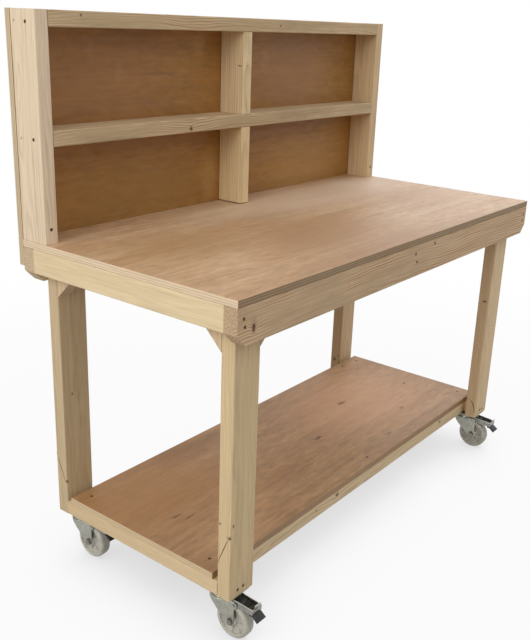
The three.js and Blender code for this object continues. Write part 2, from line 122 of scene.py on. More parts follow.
# Turns that lay a board's grain along local Z
grain_turn = {"x": (0.0, -math.pi / 2, 0.0), "y": (math.pi / 2, 0.0, 0.0), "z": (0.0, 0.0, 0.0)}
grain_way = {"x": (1.0, 0.0, 0.0), "y": (0.0, 1.0, 0.0), "z": (0.0, 0.0, 1.0)}
colours = {"data_type": "RGBA"}
gentle = {"interpolation_type": "SMOOTHSTEP"}
early_wood = "#e8d4b5"
late_wood = "#b3946a"
end_wood = "#c3b093"
# Colour of the painted shade on a leg's left side
side_shade_colour = "#8c6a44"
knot_wood = "#7d5430"
knot_heart = "#371d07"
weathered = "#97875f"
side_shade_from, side_shade_to = -43.0, -30.0
knot_squeeze = 0.75
knot_swell = 3.2
knot_fall = 1.7
no_knot = 1000.0


# Planed softwood from fast-grown trees: growth rings 5 to 8 mm wide show as long flames on
# the faces and as arcs on the sawn ends, with fine fibre along the board and small dark knots.
# A knot is given by its place from the board's middle and its radius, all in millimetres.
# The last argument paints shade on the board's left side, for legs whose left face looks under the bench.
def board(node, grain, pith, tone="#ffffff", grey=0.1, contrast=0.6, ring=5.5, knots=(), side_shade=0.0):
    material, tree = new_material("Planed pine " + node)
    core = Vector((*pith, 0.0))
    place, faces = wood_place(tree, node, grain_turn[grain], core)
    fibre = wood_flecks(tree, place, (1.6, 1.6, 90.0), 3.0, 0.6)
    streak = wood_flecks(tree, place, (13.0, 13.0, 460.0), 3.0, 0.6)
    cloud = wood_flecks(tree, place, (60.0, 60.0, 260.0), 3.0, 0.6)

    # Growth rings stand round the pith
    bent = swaying(tree, place, (80.0, 80.0, 300.0), (36.0, 36.0, 0.0))
    across = add(tree, "VectorMath", {0: bent, 1: (1.0, 1.0, 0.0)}, operation="MULTIPLY")
    radius = add(tree, "VectorMath", {0: across}, operation="LENGTH")

    # A knot is a cone that leaves the pith, and the rings swell round it
    nearest = None
    for x, y, z, size in knots:
        out = Vector((x, y, 0.0)) - core
        reach = out.length
        out.normalize()
        side = Vector((-out.y, out.x, 0.0))
        sideways = add(tree, "VectorMath", {0: place, 1: side}, operation="DOT_PRODUCT")
        share = add(tree, "VectorMath", {0: place, 1: out * (size / reach)}, operation="DOT_PRODUCT")
        share = add(tree, "Math", {0: share, 1: 0.05}, operation="MAXIMUM")
        along = add(tree, "VectorMath", {0: place, 1: (0.0, 0.0, knot_squeeze)}, operation="DOT_PRODUCT")
        along = add(tree, "Math", {0: along, 1: z * knot_squeeze}, operation="SUBTRACT")
        offset = add(tree, "CombineXYZ", {0: sideways, 1: along})
        offset = add(tree, "VectorMath", {0: offset}, operation="LENGTH")
        distance = add(tree, "Math", {0: offset, 1: share}, operation="DIVIDE")
        fall = add(tree, "Math", {0: distance, 1: knot_fall}, operation="POWER")
        fall = add(tree, "Math", {0: fall, 1: 1.0}, operation="ADD")
        swell = add(tree, "Math", {0: size * knot_swell, 1: fall}, operation="DIVIDE")
        radius = add(tree, "Math", {0: radius, 1: swell}, operation="ADD")
        nearest = add(tree, "Math", {0: distance, 1: nearest or no_knot}, operation="MINIMUM")

    # Good and poor years leave wide and narrow rings
    uneven = add(tree, "TexNoise", {"W": radius, "Scale": 0.35 / ring, "Detail": 1.0}, noise_dimensions="1D")
    rings = add(tree, "Math", {0: radius, 1: ring}, operation="DIVIDE")
    rings = add(tree, "Math", {0: uneven, 1: 1.5, 2: rings}, operation="MULTIPLY_ADD")
    late = ring_shade(tree, rings, 0.2, 0.84)

    # Colour: late wood over early wood, then greying, darker streaks and the pale fibre
    depth = add(tree, "MapRange", {
        0: streak, 1: 0.25, 2: 0.72, 3: contrast * 0.4, 4: contrast * 1.35,
    }, **gentle)
    depth = add(tree, "Math", {0: late, 1: depth}, operation="MULTIPLY")
    plain = add(tree, "MapRange", {0: cloud, 1: 0.36, 2: 0.6, 3: 1.15, 4: 0.4}, **gentle)
    depth = add(tree, "Math", {0: depth, 1: plain}, operation="MULTIPLY")
    colour = add(tree, "Mix", {0: depth, 1: linear(early_wood), 2: linear(late_wood)}, **colours)
    aged = add(tree, "MapRange", {0: cloud, 1: 0.35, 2: 0.7, 3: 0.0, 4: grey * 2}, **gentle)
    colour = add(tree, "Mix", {0: aged, 1: colour, 2: linear(weathered)}, **colours)
    dark = add(tree, "MapRange", {0: streak, 1: 0.45, 2: 0.75, 3: 0.0, 4: 0.16}, **gentle)
    colour = add(tree, "Mix", {0: dark, 1: colour, 2: linear(late_wood)}, **colours)
    shade = add(tree, "MapRange", {0: fibre, 1: 0.2, 2: 0.8, 3: 0.87, 4: 1.07}, **gentle)
    colour = add(tree, "HueSaturation", {"Color": colour, "Value": shade})

    # Painted shade, full on the left face and fading out across the next 13 mm of the wide faces
    if side_shade:
        edge = add(tree, "SeparateXYZ", {0: place}).outputs["X"]
        edge = add(tree, "Math", {0: edge, 1: core.x}, operation="ADD")
        edge = add(tree, "MapRange", {0: edge, 1: side_shade_from, 2: side_shade_to, 3: side_shade, 4: 0.0}, **gentle)
        colour = add(tree, "Mix", {0: edge, 1: colour, 2: linear(side_shade_colour)}, **colours)

    # Sawn ends are mottled, because the saw tears the fibres and each ring takes dirt
    pores = wood_flecks(tree, place, (3.0, 3.0, 3.0), 2.0, 0.6)
    speck = add(tree, "MapRange", {0: pores, 1: 0.38, 2: 0.62, 3: 0.72, 4: 1.18}, **gentle)
    sawn = add(tree, "Mix", {0: 0.65, 1: colour, 2: linear(end_wood)}, **colours)
    sawn = add(tree, "HueSaturation", {"Color": sawn, "Value": speck})
    facing = add(tree, "VectorMath", {0: faces, 1: grain_way[grain]}, operation="DOT_PRODUCT")
    facing = add(tree, "Math", {0: facing}, operation="ABSOLUTE")
    end = add(tree, "MapRange", {0: facing, 1: 0.45, 2: 0.68}, **gentle)
    colour = add(tree, "Mix", {0: end, 1: colour, 2: sawn}, **colours)

    if nearest:
        torn = add(tree, "Math", {0: pores, 1: 0.5, 2: nearest}, operation="MULTIPLY_ADD")
        halo = add(tree, "MapRange", {0: torn, 1: 1.1, 2: 2.9, 3: 0.35, 4: 0.0}, **gentle)
        colour = add(tree, "Mix", {0: halo, 1: colour, 2: linear(knot_wood)}, **colours)
        centre = add(tree, "MapRange", {0: torn, 1: 0.3, 2: 0.9}, **gentle)
        centre = add(tree, "Mix", {0: centre, 1: linear(knot_wood), 2: linear(knot_heart)}, **colours)
        inside = add(tree, "MapRange", {0: torn, 1: 1.05, 2: 1.3, 3: 0.93, 4: 0.0}, **gentle)
        colour = add(tree, "Mix", {0: inside, 1: colour, 2: centre}, **colours)

    colour = add(tree, "Mix", {0: 1.0, 1: colour, 2: linear(tone)}, blend_type="MULTIPLY", **colours)
    height = add(tree, "Math", {0: late, 1: 0.4, 2: fibre}, operation="MULTIPLY_ADD")
    bump = add(tree, "Bump", {"Strength": 0.45, "Distance": 0.25 * mm, "Height": height})
    gloss = add(tree, "MapRange", {0: streak, 1: 0.2, 2: 0.8, 3: 0.62, 4: 0.78})
    shader = add(tree, "BsdfPrincipled", {
        "Base Color": colour, "Roughness": gloss, "Normal": bump, "IOR": 1.5,
    })
    add(tree, "OutputMaterial", {0: shader})
    dress(node, material)


board("front_long_rail", "x", (66, -44), "#f6e7dc", 0.2, 0.95, 6.5, [(10, -19, -697, 3.8)])
board("rear_long_rail", "x", (-30, 26), "#fffaf2", 0.12, 0.7, knots=[(12, -19, 210, 6)])
board("left_end_rail", "y", (-52, 12), "#fffcee", 0.02, 0.16, 9.0)
board("right_end_rail", "y", (48, 10), "#fcf8ec", 0.06, 0.3, knots=[(14, 6, 90, 5)])
board("top_cross_bearer", "y", (30, -18), "#f6f0e4", 0.1, 0.5, knots=[(14, -8, -60, 7)])


# Worktop
# One sheet of 18 mm hardwood-faced plywood, laid flush with the frame on all sides. Its edges
# are left bare, so the plies show as stripes, and its face is sanded, pinkish tan and streaky.
ply_pair = 6.0
ply_start = 9.9
long_ply_share = 0.36
ply_blur = 0.09
swirl_rings = 11.0
half_face = 8.5
face_blur = 0.2


# The face mixes a pale, a deep and a warm tone, and the edges have three more. Figure says how
# lively the grain is. A mark is its place from the sheet's middle, half its length and width,
# all in millimetres, then how strong it is and its colour.
def plywood(node, turn, pale, deep, warm, edge_pale, edge_cut, edge_long, figure=0.5, marks=()):
    material, tree = new_material("Hardwood plywood " + node)
    place, faces = wood_place(tree, node, turn)
    level = add(tree, "SeparateXYZ", {0: place}).outputs["Z"]

    # The face veneer is peeled from the log: broad soft bands, wavy figure and short pores
    band = wood_flecks(tree, place, (760.0, 60.0, 400.0), 3.0, 0.6)
    streak = wood_flecks(tree, place, (620.0, 8.0, 60.0), 4.0, 0.6)
    patch = wood_flecks(tree, place, (330.0, 110.0, 400.0), 3.0)
    bent = swaying(tree, place, (50.0, 22.0, 90.0), (60.0, 14.0, 0.0), 3.0)
    pores = wood_flecks(tree, place, (16.0, 1.1, 9.0), 2.0, 0.6)
    swirl = wood_flecks(tree, bent, (430.0, 95.0, 400.0), 1.0)
    swirl = add(tree, "Math", {0: swirl, 1: swirl_rings}, operation="MULTIPLY")
    wave = ring_shade(tree, swirl, 0.1, 0.85)
    wave = add(tree, "Math", {0: wave, 1: 0.3 * figure}, operation="MULTIPLY")
    broad = add(tree, "MapRange", {0: band, 1: 0.32, 2: 0.68}, **gentle)
    face = add(tree, "Mix", {0: broad, 1: linear(pale), 2: linear(deep)}, **colours)
    tinted = add(tree, "MapRange", {0: patch, 1: 0.42, 2: 0.66, 3: 0.0, 4: 0.7}, **gentle)
    face = add(tree, "Mix", {0: tinted, 1: face, 2: linear(warm)}, **colours)
    face = add(tree, "Mix", {0: wave, 1: face, 2: linear(edge_long)}, **colours)
    shade = add(tree, "MapRange", {
        0: streak, 1: 0.3, 2: 0.7, 3: 1.0 + 0.06 * figure, 4: 1.0 - 0.08 * figure,
    }, **gentle)
    mottle = wood_flecks(tree, bent, (52.0, 17.0, 60.0), 4.0, 0.6)
    mottle = add(tree, "MapRange", {
        0: mottle, 1: 0.3, 2: 0.7, 3: 1.0 + 0.25 * figure, 4: 1.0 - 0.25 * figure,
    }, **gentle)
    shade = add(tree, "Math", {0: shade, 1: mottle}, operation="MULTIPLY")
    flecks = wood_flecks(tree, bent, (20.0, 5.0, 60.0), 4.0, 0.65)
    flecks = add(tree, "MapRange", {0: flecks, 1: 0.52, 2: 0.72, 3: 1.04, 4: 1.0 - 0.28 * figure}, **gentle)
    shade = add(tree, "Math", {0: shade, 1: flecks}, operation="MULTIPLY")
    face = add(tree, "HueSaturation", {"Color": face, "Value": shade})
    pitted = add(tree, "MapRange", {0: pores, 1: 0.56, 2: 0.72, 3: 0.0, 4: 0.5 * figure}, **gentle)
    face = add(tree, "Mix", {0: pitted, 1: face, 2: linear(edge_long)}, **colours)

    # Marks on the upper veneer, each an oval with frayed edges: pin knots, darker veins, paler patches and
    # painted sheen
    upper = add(tree, "Math", {0: level, 1: 0.0}, operation="GREATER_THAN")
    for x, y, half_long, half_wide, share, code in marks:
        oval = add(tree, "Mapping", {
            "Vector": bent,
            "Location": (-x / half_long, -y / half_wide, 0.0),
            "Scale": (1 / half_long, 1 / half_wide, 0.0),
        })
        oval = add(tree, "VectorMath", {0: oval}, operation="LENGTH")
        oval = add(tree, "MapRange", {0: oval, 1: 0.2, 2: 1.0, 3: share, 4: 0.0}, **gentle)
        oval = add(tree, "Math", {0: oval, 1: upper}, operation="MULTIPLY")
        face = add(tree, "Mix", {0: oval, 1: face, 2: linear(code)}, **colours)

    # Plies lie crosswise in turn, so each edge shows pale long grain and darker cut ends
    ply = add(tree, "Math", {0: level, 1: ply_start}, operation="ADD")
    ply = add(tree, "Math", {0: ply, 1: ply_pair}, operation="DIVIDE")
    ply = add(tree, "Math", {0: ply}, operation="FRACT")
    lengthwise = add(tree, "MapRange", {
        0: ply, 1: long_ply_share - ply_blur, 2: long_ply_share + ply_blur, 3: 1.0, 4: 0.0,
    }, **gentle)
    glued = add(tree, "MapRange", {0: ply, 1: 0.86, 2: 1.0, 3: 0.0, 4: 0.28}, **gentle)
    facing = add(tree, "SeparateXYZ", {0: faces})
    facing = add(tree, "Math", {0: facing}, operation="ABSOLUTE")
    endways = add(tree, "Math", {0: facing, 1: 0.7}, operation="GREATER_THAN")
    end_side = add(tree, "Mix", {0: lengthwise, 1: linear(edge_pale), 2: linear(edge_cut)}, **colours)
    long_side = add(tree, "Math", {0: lengthwise, 1: 0.3}, operation="MULTIPLY")
    long_side = add(tree, "Mix", {0: long_side, 1: linear(edge_long), 2: linear(edge_cut)}, **colours)
    edge = add(tree, "Mix", {0: endways, 1: long_side, 2: end_side}, **colours)
    edge = add(tree, "Mix", {0: glued, 1: edge, 2: linear(edge_long)}, **colours)
    cut = wood_flecks(tree, place, (60.0, 60.0, 3.0), 3.0, 0.6)
    cut = add(tree, "MapRange", {0: cut, 1: 0.3, 2: 0.7, 3: 0.92, 4: 1.05}, **gentle)
    edge = add(tree, "HueSaturation", {"Color": edge, "Value": cut})

    outer = add(tree, "Math", {0: level}, operation="ABSOLUTE")
    outer = add(tree, "MapRange", {0: outer, 1: half_face - face_blur, 2: half_face + face_blur}, **gentle)
    colour = add(tree, "Mix", {0: outer, 1: edge, 2: face}, **colours)
    height = add(tree, "Math", {0: streak, 1: 0.5, 2: pores}, operation="MULTIPLY_ADD")
    bump = add(tree, "Bump", {"Strength": 0.3, "Distance": 0.2 * mm, "Height": height})
    gloss = add(tree, "MapRange", {0: streak, 1: 0.3, 2: 0.7, 3: 0.46, 4: 0.62})
    shader = add(tree, "BsdfPrincipled", {
        "Base Color": colour, "Roughness": gloss, "Normal": bump, "IOR": 1.5,
    })
    add(tree, "OutputMaterial", {0: shader})
    dress(node, material)


flat_lay = (0.0, 0.0, 0.0)
# The pale marks toward the back, at y 190 to 260, are painted sheen
plywood("worktop_ply", flat_lay, "#c6a582", "#b3906c", "#b9906a", "#e6ceae", "#d3b996", "#866a46", 0.45, [
    (-150, -140, 420, 250, 0.85, "#a37b54"), (-520, 40, 270, 190, 0.6, "#aa8358"),
    (330, 190, 760, 210, 0.75, "#d4baa1"), (620, -90, 240, 160, 0.3, "#c9a48a"),
    (0, 260, 640, 110, 0.35, "#d0b391"), (500, -80, 340, 220, 0.5, "#b08a66"),
    (-20, -335, 760, 105, 0.6, "#976b40"), (-180, 90, 300, 110, 0.35, "#a27c57"),
    (580, 220, 200, 130, 0.4, "#e2cbb4"),
])


# Legs
# Four posts of the wide timber stand inside the long rails, flat face to the front.
# Each is screwed through the rail and reaches down to its castor's plate.
board("front_left_leg", "z", (-20, 44), "#f3ebd7", 0.02, 0.22, 7.0,
      knots=[(-34, -19, -173, 2.4), (-44, -17, -202, 2.4), (-44, 14, -174, 1.6)])
board("front_right_leg", "z", (-28, 38), "#fff5e6", 0.03, 0.3,
      knots=[(-44, -2, 57, 2.0), (-12, -19, -37, 1.5)], side_shade=0.22)
board("rear_left_leg", "z", (10, 45), "#e6dfd1", 0.04, 0.3, 7.0,
      knots=[(-44, -19, -277, 2.6), (-13, -19, -25, 1.9)])
board("rear_right_leg", "z", (14, 44), "#fff8ec", 0.05, 0.4,
      knots=[(-44, 2, -318, 4), (-44, -12, -300, 2)], side_shade=0.7)


# Corner braces
# Right-angled blocks sawn at 45 degrees from the same timber, screwed into the corner
# between each leg and the frame. The long sawn face shows slanting grain.
for corner in ("front_left", "front_right", "rear_left", "rear_right"):
    side = -1 if "left" in corner else 1
    inward = 1 if "front" in corner else -1
    board(corner + "_end_brace", "z", (30 * side, 24 * inward), "#f8efe6", 0.06, 0.45)
    board(corner + "_rail_brace", "z", (22 * side, 30 * inward), "#f6eddb", 0.06, 0.5)


# Lower shelf
# Two end rails lie flat between the legs, two long rails and a bearer between them. One
# sheet of the same plywood, redder and with small dark pin knots, is screwed down on top.
board("shelf_left_end_rail", "y", (-34, 30), "#fdf5e4", 0.04, 0.3)
board("shelf_right_end_rail", "y", (36, 26), "#f8f0e0", 0.06, 0.4)
board("shelf_front_rail", "x", (24, 36), "#fff8ea", 0.06, 0.45,
      knots=[(-9, -31, 456, 3.5), (-8, -31, -175, 4), (-4, -31, -279, 2)])
board("shelf_rear_rail", "x", (24, -36), "#f6eddc", 0.1, 0.5)
board("shelf_cross_bearer", "y", (26, 30), "#f6eddc", 0.1, 0.5)
plywood("shelf_ply", flat_lay, "#b18a61", "#9a754e", "#9f7650", "#dcc39d", "#c5a981", "#96724c", 0.6, [
    (360, 14, 470, 300, 0.6, "#d9a67f"), (-560, 110, 400, 260, 0.75, "#a77742"),
    (-560, -210, 190, 90, 0.4, "#c9a27c"), (-220, -104, 210, 76, 0.45, "#8a6038"),
    (-300, 205, 210, 70, 0.55, "#8a6038"), (305, 48, 24, 11, 0.75, "#55320f"),
    (32, -44, 20, 11, 0.85, "#502e0d"), (414, -132, 15, 9, 0.75, "#5a3712"),
    (210, -195, 20, 7, 0.7, "#5e3f24"), (-590, -20, 26, 9, 0.8, "#54371d"),
    (-562, -48, 20, 7, 0.75, "#5e3f24"),
])


# Back panel
# Two uprights stand on the worktop's rear corners with the top rail and the middle shelf
# between them, and two short dividers. All are wide timber set with the narrow edge forward.
board("left_upright", "z", (-46, 20), "#fffdff", 0.0, 0.34, 7.0, [(-19, 30, 244, 1.4), (-19, 27, -21, 1.4)])
board("right_upright", "z", (42, 22), "#f4ead8", 0.1, 0.28, 8.0)
board("back_top_rail", "x", (70, 40), "#eae0d2", 0.2, 0.6, 4.5, [(-9, -44, -617, 1.8), (0, -44, 152, 2)])
board("back_mid_shelf", "x", (70, 44), "#e8dfd3", 0.24, 0.65, 4.5, [(9, -44, -240, 3.6)])
board("back_lower_divider", "z", (8, 92), "#fff9e4", 0.02, 0.3, 9.0)
board("back_upper_divider", "z", (6, 95), "#fffaea", 0.02, 0.4, 8.0,
      knots=[(-19, -30, 21, 1.1), (-6, -44, 22, 1.0)])
upright_lay = (-math.pi / 2, 0.0, 0.0)
plywood("back_panel_ply", upright_lay, "#9d6d2c", "#936428", "#8a5c22", "#cbb998", "#b59a74", "#a88860", 0.45, [
    (-380, -170, 420, 140, 0.5, "#916b35"), (430, -170, 340, 150, 0.5, "#b28749"),
    (-60, -160, 60, 110, 0.35, "#bf9a60"), (-271, 150, 95, 8, 0.45, "#6b4722"),
    (-520, 213, 22, 46, 0.2, "#c09a70"), (-420, 163, 18, 52, 0.2, "#c09a70"),
    (-110, 235, 34, 60, 0.25, "#c09a66"), (195, 180, 30, 60, 0.2, "#c09a70"),
    (-480, 130, 360, 200, 0.45, "#92623b"), (340, 150, 260, 200, 0.5, "#9b6e49"),
    (-30, 120, 70, 190, 0.3, "#a97947"),
])


# Wood screws
# Yellow-passivated countersunk screws with a cross recess, 7.4 mm across the head, driven flush
# in a ring of crushed fibre. The ring and the head are darkened as painted shadow, so in the pale
# timber each shows as a small dark dot.
def plain_finish(name, code, rough, metal=0.0):
    material, tree = new_material(name)
    grit = add(tree, "TexNoise", {"Vector": add(tree, "TexCoord").outputs["Object"], "Scale": 1 / (1.4 * mm)})
    shade = add(tree, "MapRange", {0: grit, 1: 0.3, 2: 0.7, 3: 0.8, 4: 1.1}, **gentle)
    colour = add(tree, "HueSaturation", {"Color": linear(code), "Value": shade})
    shader = add(tree, "BsdfPrincipled", {"Base Color": colour, "Roughness": rough, "Metallic": metal})
    add(tree, "OutputMaterial", {0: shader})
    return material


# The ring round each head is crushed fibre, darkened further as painted shadow
countersink_shade = plain_finish("Crushed wood fibre round a screw", "#6d4f31", 0.9)
# The head's steel is darkened as painted shade
passivated = plain_finish("Yellow-passivated screw steel", "#6a4d2c", 0.5, 1.0)
recess_shadow = plain_finish("Shadow in a screw recess", "#1c1209", 0.9)
countersink_slot, head_slot, recess_slot = 0, 1, 2
countersink_radius, countersink_top = 4.4, 0.04
head_radius, head_top = 3.7, 0.1
disc_thick = 0.6
recess_size = (4.6, 1.1, 0.5)
recess_middle = -0.12
turn_apart = 0.9
screw_turns = {
    "-x": Matrix.Rotation(-math.pi / 2, 3, "Y"),
    "+x": Matrix.Rotation(math.pi / 2, 3, "Y"),
    "-y": Matrix.Rotation(math.pi / 2, 3, "X"),
    "+y": Matrix.Rotation(-math.pi / 2, 3, "X"),
    "+z": Matrix.Identity(3),
}


def disc_of(mesh, radius, top, slot):
    sizes = {"segments": 20, "radius1": radius, "radius2": radius, "depth": disc_thick}
    made = bmesh.ops.create_cone(mesh, cap_ends=True, **sizes)["verts"]
    bmesh.ops.translate(mesh, vec=(0.0, 0.0, top - disc_thick / 2), verts=made)
    for face in {f for v in made for f in v.link_faces}:
        face.material_index = slot
    return made


def recess_arm(mesh, turn):
    made = bmesh.ops.create_cube(mesh, size=1.0)["verts"]
    bmesh.ops.scale(mesh, vec=recess_size, verts=made)
    bmesh.ops.rotate(mesh, cent=(0.0, 0.0, 0.0), matrix=Matrix.Rotation(turn, 3, "Z"), verts=made)
    bmesh.ops.translate(mesh, vec=(0.0, 0.0, recess_middle), verts=made)
    for face in {f for v in made for f in v.link_faces}:
        face.material_index = recess_slot
    return made


def mesh_data(mesh, name, *materials):
    data = bpy.data.meshes.new(name)
    mesh.to_mesh(data)
    mesh.free()
    for material in materials:
        data.materials.append(material)
    return data


def place_in_scene(name, data):
    made = bpy.data.objects.new(name, data)
    bpy.context.scene.collection.objects.link(made)
    return made


# Each screw's recess stops at its own turn
def drive_screws(name, places):
    heads = bmesh.new()
    for index, (facing, place) in enumerate(places):
        fresh = disc_of(heads, countersink_radius, countersink_top, countersink_slot)
        fresh += disc_of(heads, head_radius, head_top, head_slot)
        fresh += recess_arm(heads, 0.0) + recess_arm(heads, math.pi / 2)
        turn = screw_turns[facing] @ Matrix.Rotation(index * turn_apart, 3, "Z")
        bmesh.ops.rotate(heads, cent=(0.0, 0.0, 0.0), matrix=turn, verts=fresh)
        bmesh.ops.translate(heads, vec=place, verts=fresh)
    bmesh.ops.scale(heads, vec=(mm, mm, mm), verts=heads.verts)
    made = place_in_scene(name, mesh_data(heads, name, countersink_shade, passivated, recess_shadow))
    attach(made, "root")


rail_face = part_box("front_long_rail")[0][1] / mm
leg_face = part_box("front_left_leg")[0][1] / mm
shelf_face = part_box("shelf_ply")[1][2] / mm
end_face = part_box("left_upright")[0][0] / mm
board_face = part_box("left_upright")[0][1] / mm
rear_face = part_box("back_panel_ply")[1][1] / mm
places = [("-y", (x, rail_face, z)) for x, z in ((3, 834), (-7, 858), (99, 870))]
for side in (-1, 1):
    places += [("-y", (side * x, rail_face, z)) for x, z in ((730, 856), (726, 837))]
    places += [("-y", (side * x, leg_face, z)) for x, z in ((660, 147), (680, 146))]
    places += [("-x" if side < 0 else "+x", (side * -end_face, y, z)) for y, z in ((300, 1414), (292, 1151))]
    places += [("-y", (side * 731, board_face, 936.5))]
    places += [("+z", (side * x, y, shelf_face)) for x, y in ((670, 228), (672, -208))]
    places += [("+y", (side * x, rear_face, z)) for x in (731, 380) for z in (1423, 1152, 846)]
    places += [("+y", (side * 731, rear_face, z)) for z in (1290, 1010)]
places += [("+y", (0.0, rear_face, z)) for z in (1423, 1290, 1152, 1010, 846)]
places += [("+z", (x, y, shelf_face)) for x, y in ((28, -224), (-6, 226), (587, 237), (606, -23))]
drive_screws("wood_screws", places)


# Drying checks
# Where a knot dried out, three legs have split a little along a slant: narrow dark cracks
# that run from the knot down to the far edge.
check_dark = plain_finish("Shadow in a drying check", "#61452a", 0.95)
check_proud = 0.06
check_deep = 0.4
check_taper = 0.35


def extrude(mesh, faces, offset):
    made = bmesh.ops.extrude_face_region(mesh, geom=faces)["geom"]
    bmesh.ops.translate(mesh, vec=offset, verts=[v for v in made if isinstance(v, bmesh.types.BMVert)])
    return made


# Each line is the near edge of a check on the leg's outer face, as places y and z
cracks = bmesh.new()
for leg, width, line in (
    ("front_left_leg", 2.8, ((-302, 301), (-297, 290), (-286, 262), (-276, 238), (-269.5, 223))),
    ("rear_left_leg", 2.8, ((283, 226), (289, 240), (299, 264), (309, 289), (316, 306))),
    ("front_right_leg", 4.4, ((-303, 148), (-302, 164), (-297, 179), (-287, 190), (-272, 196))),
):
    leg_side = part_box(leg)[0][0] / mm
    far = [(y + width * (1.0 - abs(i - 2) * check_taper), z) for i, (y, z) in enumerate(line)][::-1]
    face = cracks.faces.new([cracks.verts.new((leg_side - check_proud, y, z)) for y, z in (*line, *far)])
    extrude(cracks, [face], (check_deep, 0.0, 0.0))
bmesh.ops.recalc_face_normals(cracks, faces=cracks.faces)
bmesh.ops.scale(cracks, vec=(mm, mm, mm), verts=cracks.verts)
checks = place_in_scene("drying_checks", mesh_data(cracks, "drying_checks", check_dark))
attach(checks, "root")


# Castor plates and kingpins
# Zinc-plated pressed steel: a cool grey skin with faint cloudy spangle, satin from handling.
# Each plate is held up under its leg by four pan-head screws near its corners.
# Colour of grime and painted shade in the castors' corners and creases
castor_grime_and_shade = "#33302a"


def zinc_finish(name, body, shadow, rough, top_highlight=None):
    material, tree = new_material(name)
    place = add(tree, "TexCoord").outputs["Object"]
    cloud = add(tree, "TexNoise", {"Vector": place, "Scale": 1 / (11 * mm), "Detail": 3.0})
    rub = add(tree, "TexNoise", {"Vector": place, "Scale": 1 / (2.4 * mm), "Detail": 2.0})
    spangle = add(tree, "MapRange", {0: cloud, 1: 0.3, 2: 0.7}, **gentle)
    colour = add(tree, "Mix", {0: spangle, 1: linear(body), 2: linear(shadow)}, **colours)
    metal = 1.0
    # A painted highlight: faces that look up turn brighter and less metallic
    if top_highlight:
        upward = add(tree, "SeparateXYZ", {0: add(tree, "TexCoord").outputs["Normal"]}).outputs["Z"]
        highlight_share = add(tree, "MapRange", {0: upward, 1: 0.6, 2: 0.9}, **gentle)
        colour = add(tree, "Mix", {0: highlight_share, 1: colour, 2: linear(top_highlight)}, **colours)
        metal = add(tree, "MapRange", {0: highlight_share, 3: 1.0, 4: 0.3})
    # Corners and creases darken by ambient occlusion: grime, and painted shade
    open_air = add(tree, "AmbientOcclusion", {"Distance": 12 * mm}).outputs["AO"]
    grime_and_shade = add(tree, "MapRange", {0: open_air, 1: 0.3, 2: 0.85, 3: 0.75, 4: 0.0}, **gentle)
    colour = add(tree, "Mix", {0: grime_and_shade, 1: colour, 2: linear(castor_grime_and_shade)}, **colours)
    gloss = add(tree, "MapRange", {0: cloud, 1: 0.25, 2: 0.75, 3: rough, 4: rough + 0.14}, **gentle)
    bump = add(tree, "Bump", {"Strength": 0.15, "Distance": 0.1 * mm, "Height": rub})
    links = {"Base Color": colour, "Metallic": metal, "Roughness": gloss, "Normal": bump}
    add(tree, "OutputMaterial", {0: add(tree, "BsdfPrincipled", links)})
    return material


# A flat shape seen from the side of the castor, drawn by its y and z
def outline(mesh, points, at=0.0):
    return mesh.faces.new([mesh.verts.new((at, y, z)) for y, z in points])


# Part of a circle, its turns in degrees
def arc(cx, cy, radius, start, end, steps):
    turns = [math.radians(start + (end - start) * i / steps) for i in range(steps + 1)]
    return [(cx + radius * math.cos(t), cy + radius * math.sin(t)) for t in turns]


# Points are radius and place along the axis
def lathe(mesh, points, axis, steps, centre=(0.0, 0.0, 0.0)):
    place = {"x": lambda r, a: (a, 0.0, r), "z": lambda r, a: (r, 0.0, a)}[axis]
    verts = [mesh.verts.new(Vector(place(r, a)) + Vector(centre)) for r, a in points]
    edges = [mesh.edges.new(pair) for pair in zip(verts, verts[1:])]
    turn = {"x": (1.0, 0.0, 0.0), "z": (0.0, 0.0, 1.0)}[axis]
    bmesh.ops.spin(mesh, geom=verts + edges, cent=centre, axis=turn, angle=math.tau, steps=steps,
                   use_merge=True)


def finish_mesh(mesh, name, smooth=40.0):
    bmesh.ops.remove_doubles(mesh, verts=mesh.verts, dist=0.002)
    bmesh.ops.recalc_face_normals(mesh, faces=mesh.faces)
    bmesh.ops.scale(mesh, vec=(mm, mm, mm), verts=mesh.verts)
    for edge in mesh.edges:
        edge.smooth = edge.calc_face_angle(0.0) < math.radians(smooth)
    for face in mesh.faces:
        face.smooth = True
    return mesh_data(mesh, name)


def fit_to_castors(data, body, material, node=None):
    for corner, place in castors.items():
        copy = data.copy()
        copy.transform(Matrix.Translation(place))
        copy.materials.append(material)
        made = place_in_scene(corner + "_" + data.name, copy)
        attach(made, corner + "_" + body if body != "root" else "root")
        if node:
            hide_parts(corner + "_castor_" + node)


zinc_satin = zinc_finish("Zinc-plated pressed steel", "#abaa9e", "#9f9e93", 0.38)
zinc_bright = zinc_finish("Bright zinc-plated steel", "#c9c8c4", "#aeada8", 0.22)
zinc_dull = zinc_finish("Darker zinc-plated bolt steel", "#8d8c84", "#787770", 0.34)
# The channel is a darker zinc for painted shade on its walls, with a painted highlight on top
zinc_channel = zinc_finish("Zinc-plated channel rubbed bright on top", "#989790", "#83827b", 0.26, "#eeede9")
castors = {}
for corner in ("front_left", "front_right", "rear_left", "rear_right"):
    low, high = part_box(corner + "_castor_plate")
    castors[corner] = ((low[0] + high[0]) / 2, (low[1] + high[1]) / 2, 0.0)
    dress(corner + "_castor_plate", zinc_satin)
    dress(corner + "_castor_kingpin", zinc_satin)

screw_at_x = 30.0
screw_at_y = 40.0
plate_under = 125.0
pan_heads = bmesh.new()
pan = [(0.0, 3.4), (1.4, 3.4), (1.7, 3.3), (4.4, 2.7), (6.0, 1.4), (6.3, 0.2), (0.0, 0.2)]
pan = [(radius, plate_under - below) for radius, below in pan]
for x in (-screw_at_x, screw_at_x):
    for y in (-screw_at_y, screw_at_y):
        lathe(pan_heads, pan, "z", 28, (x, y, 0.0))
fit_to_castors(finish_mesh(pan_heads, "plate_screws"), "root", zinc_bright)


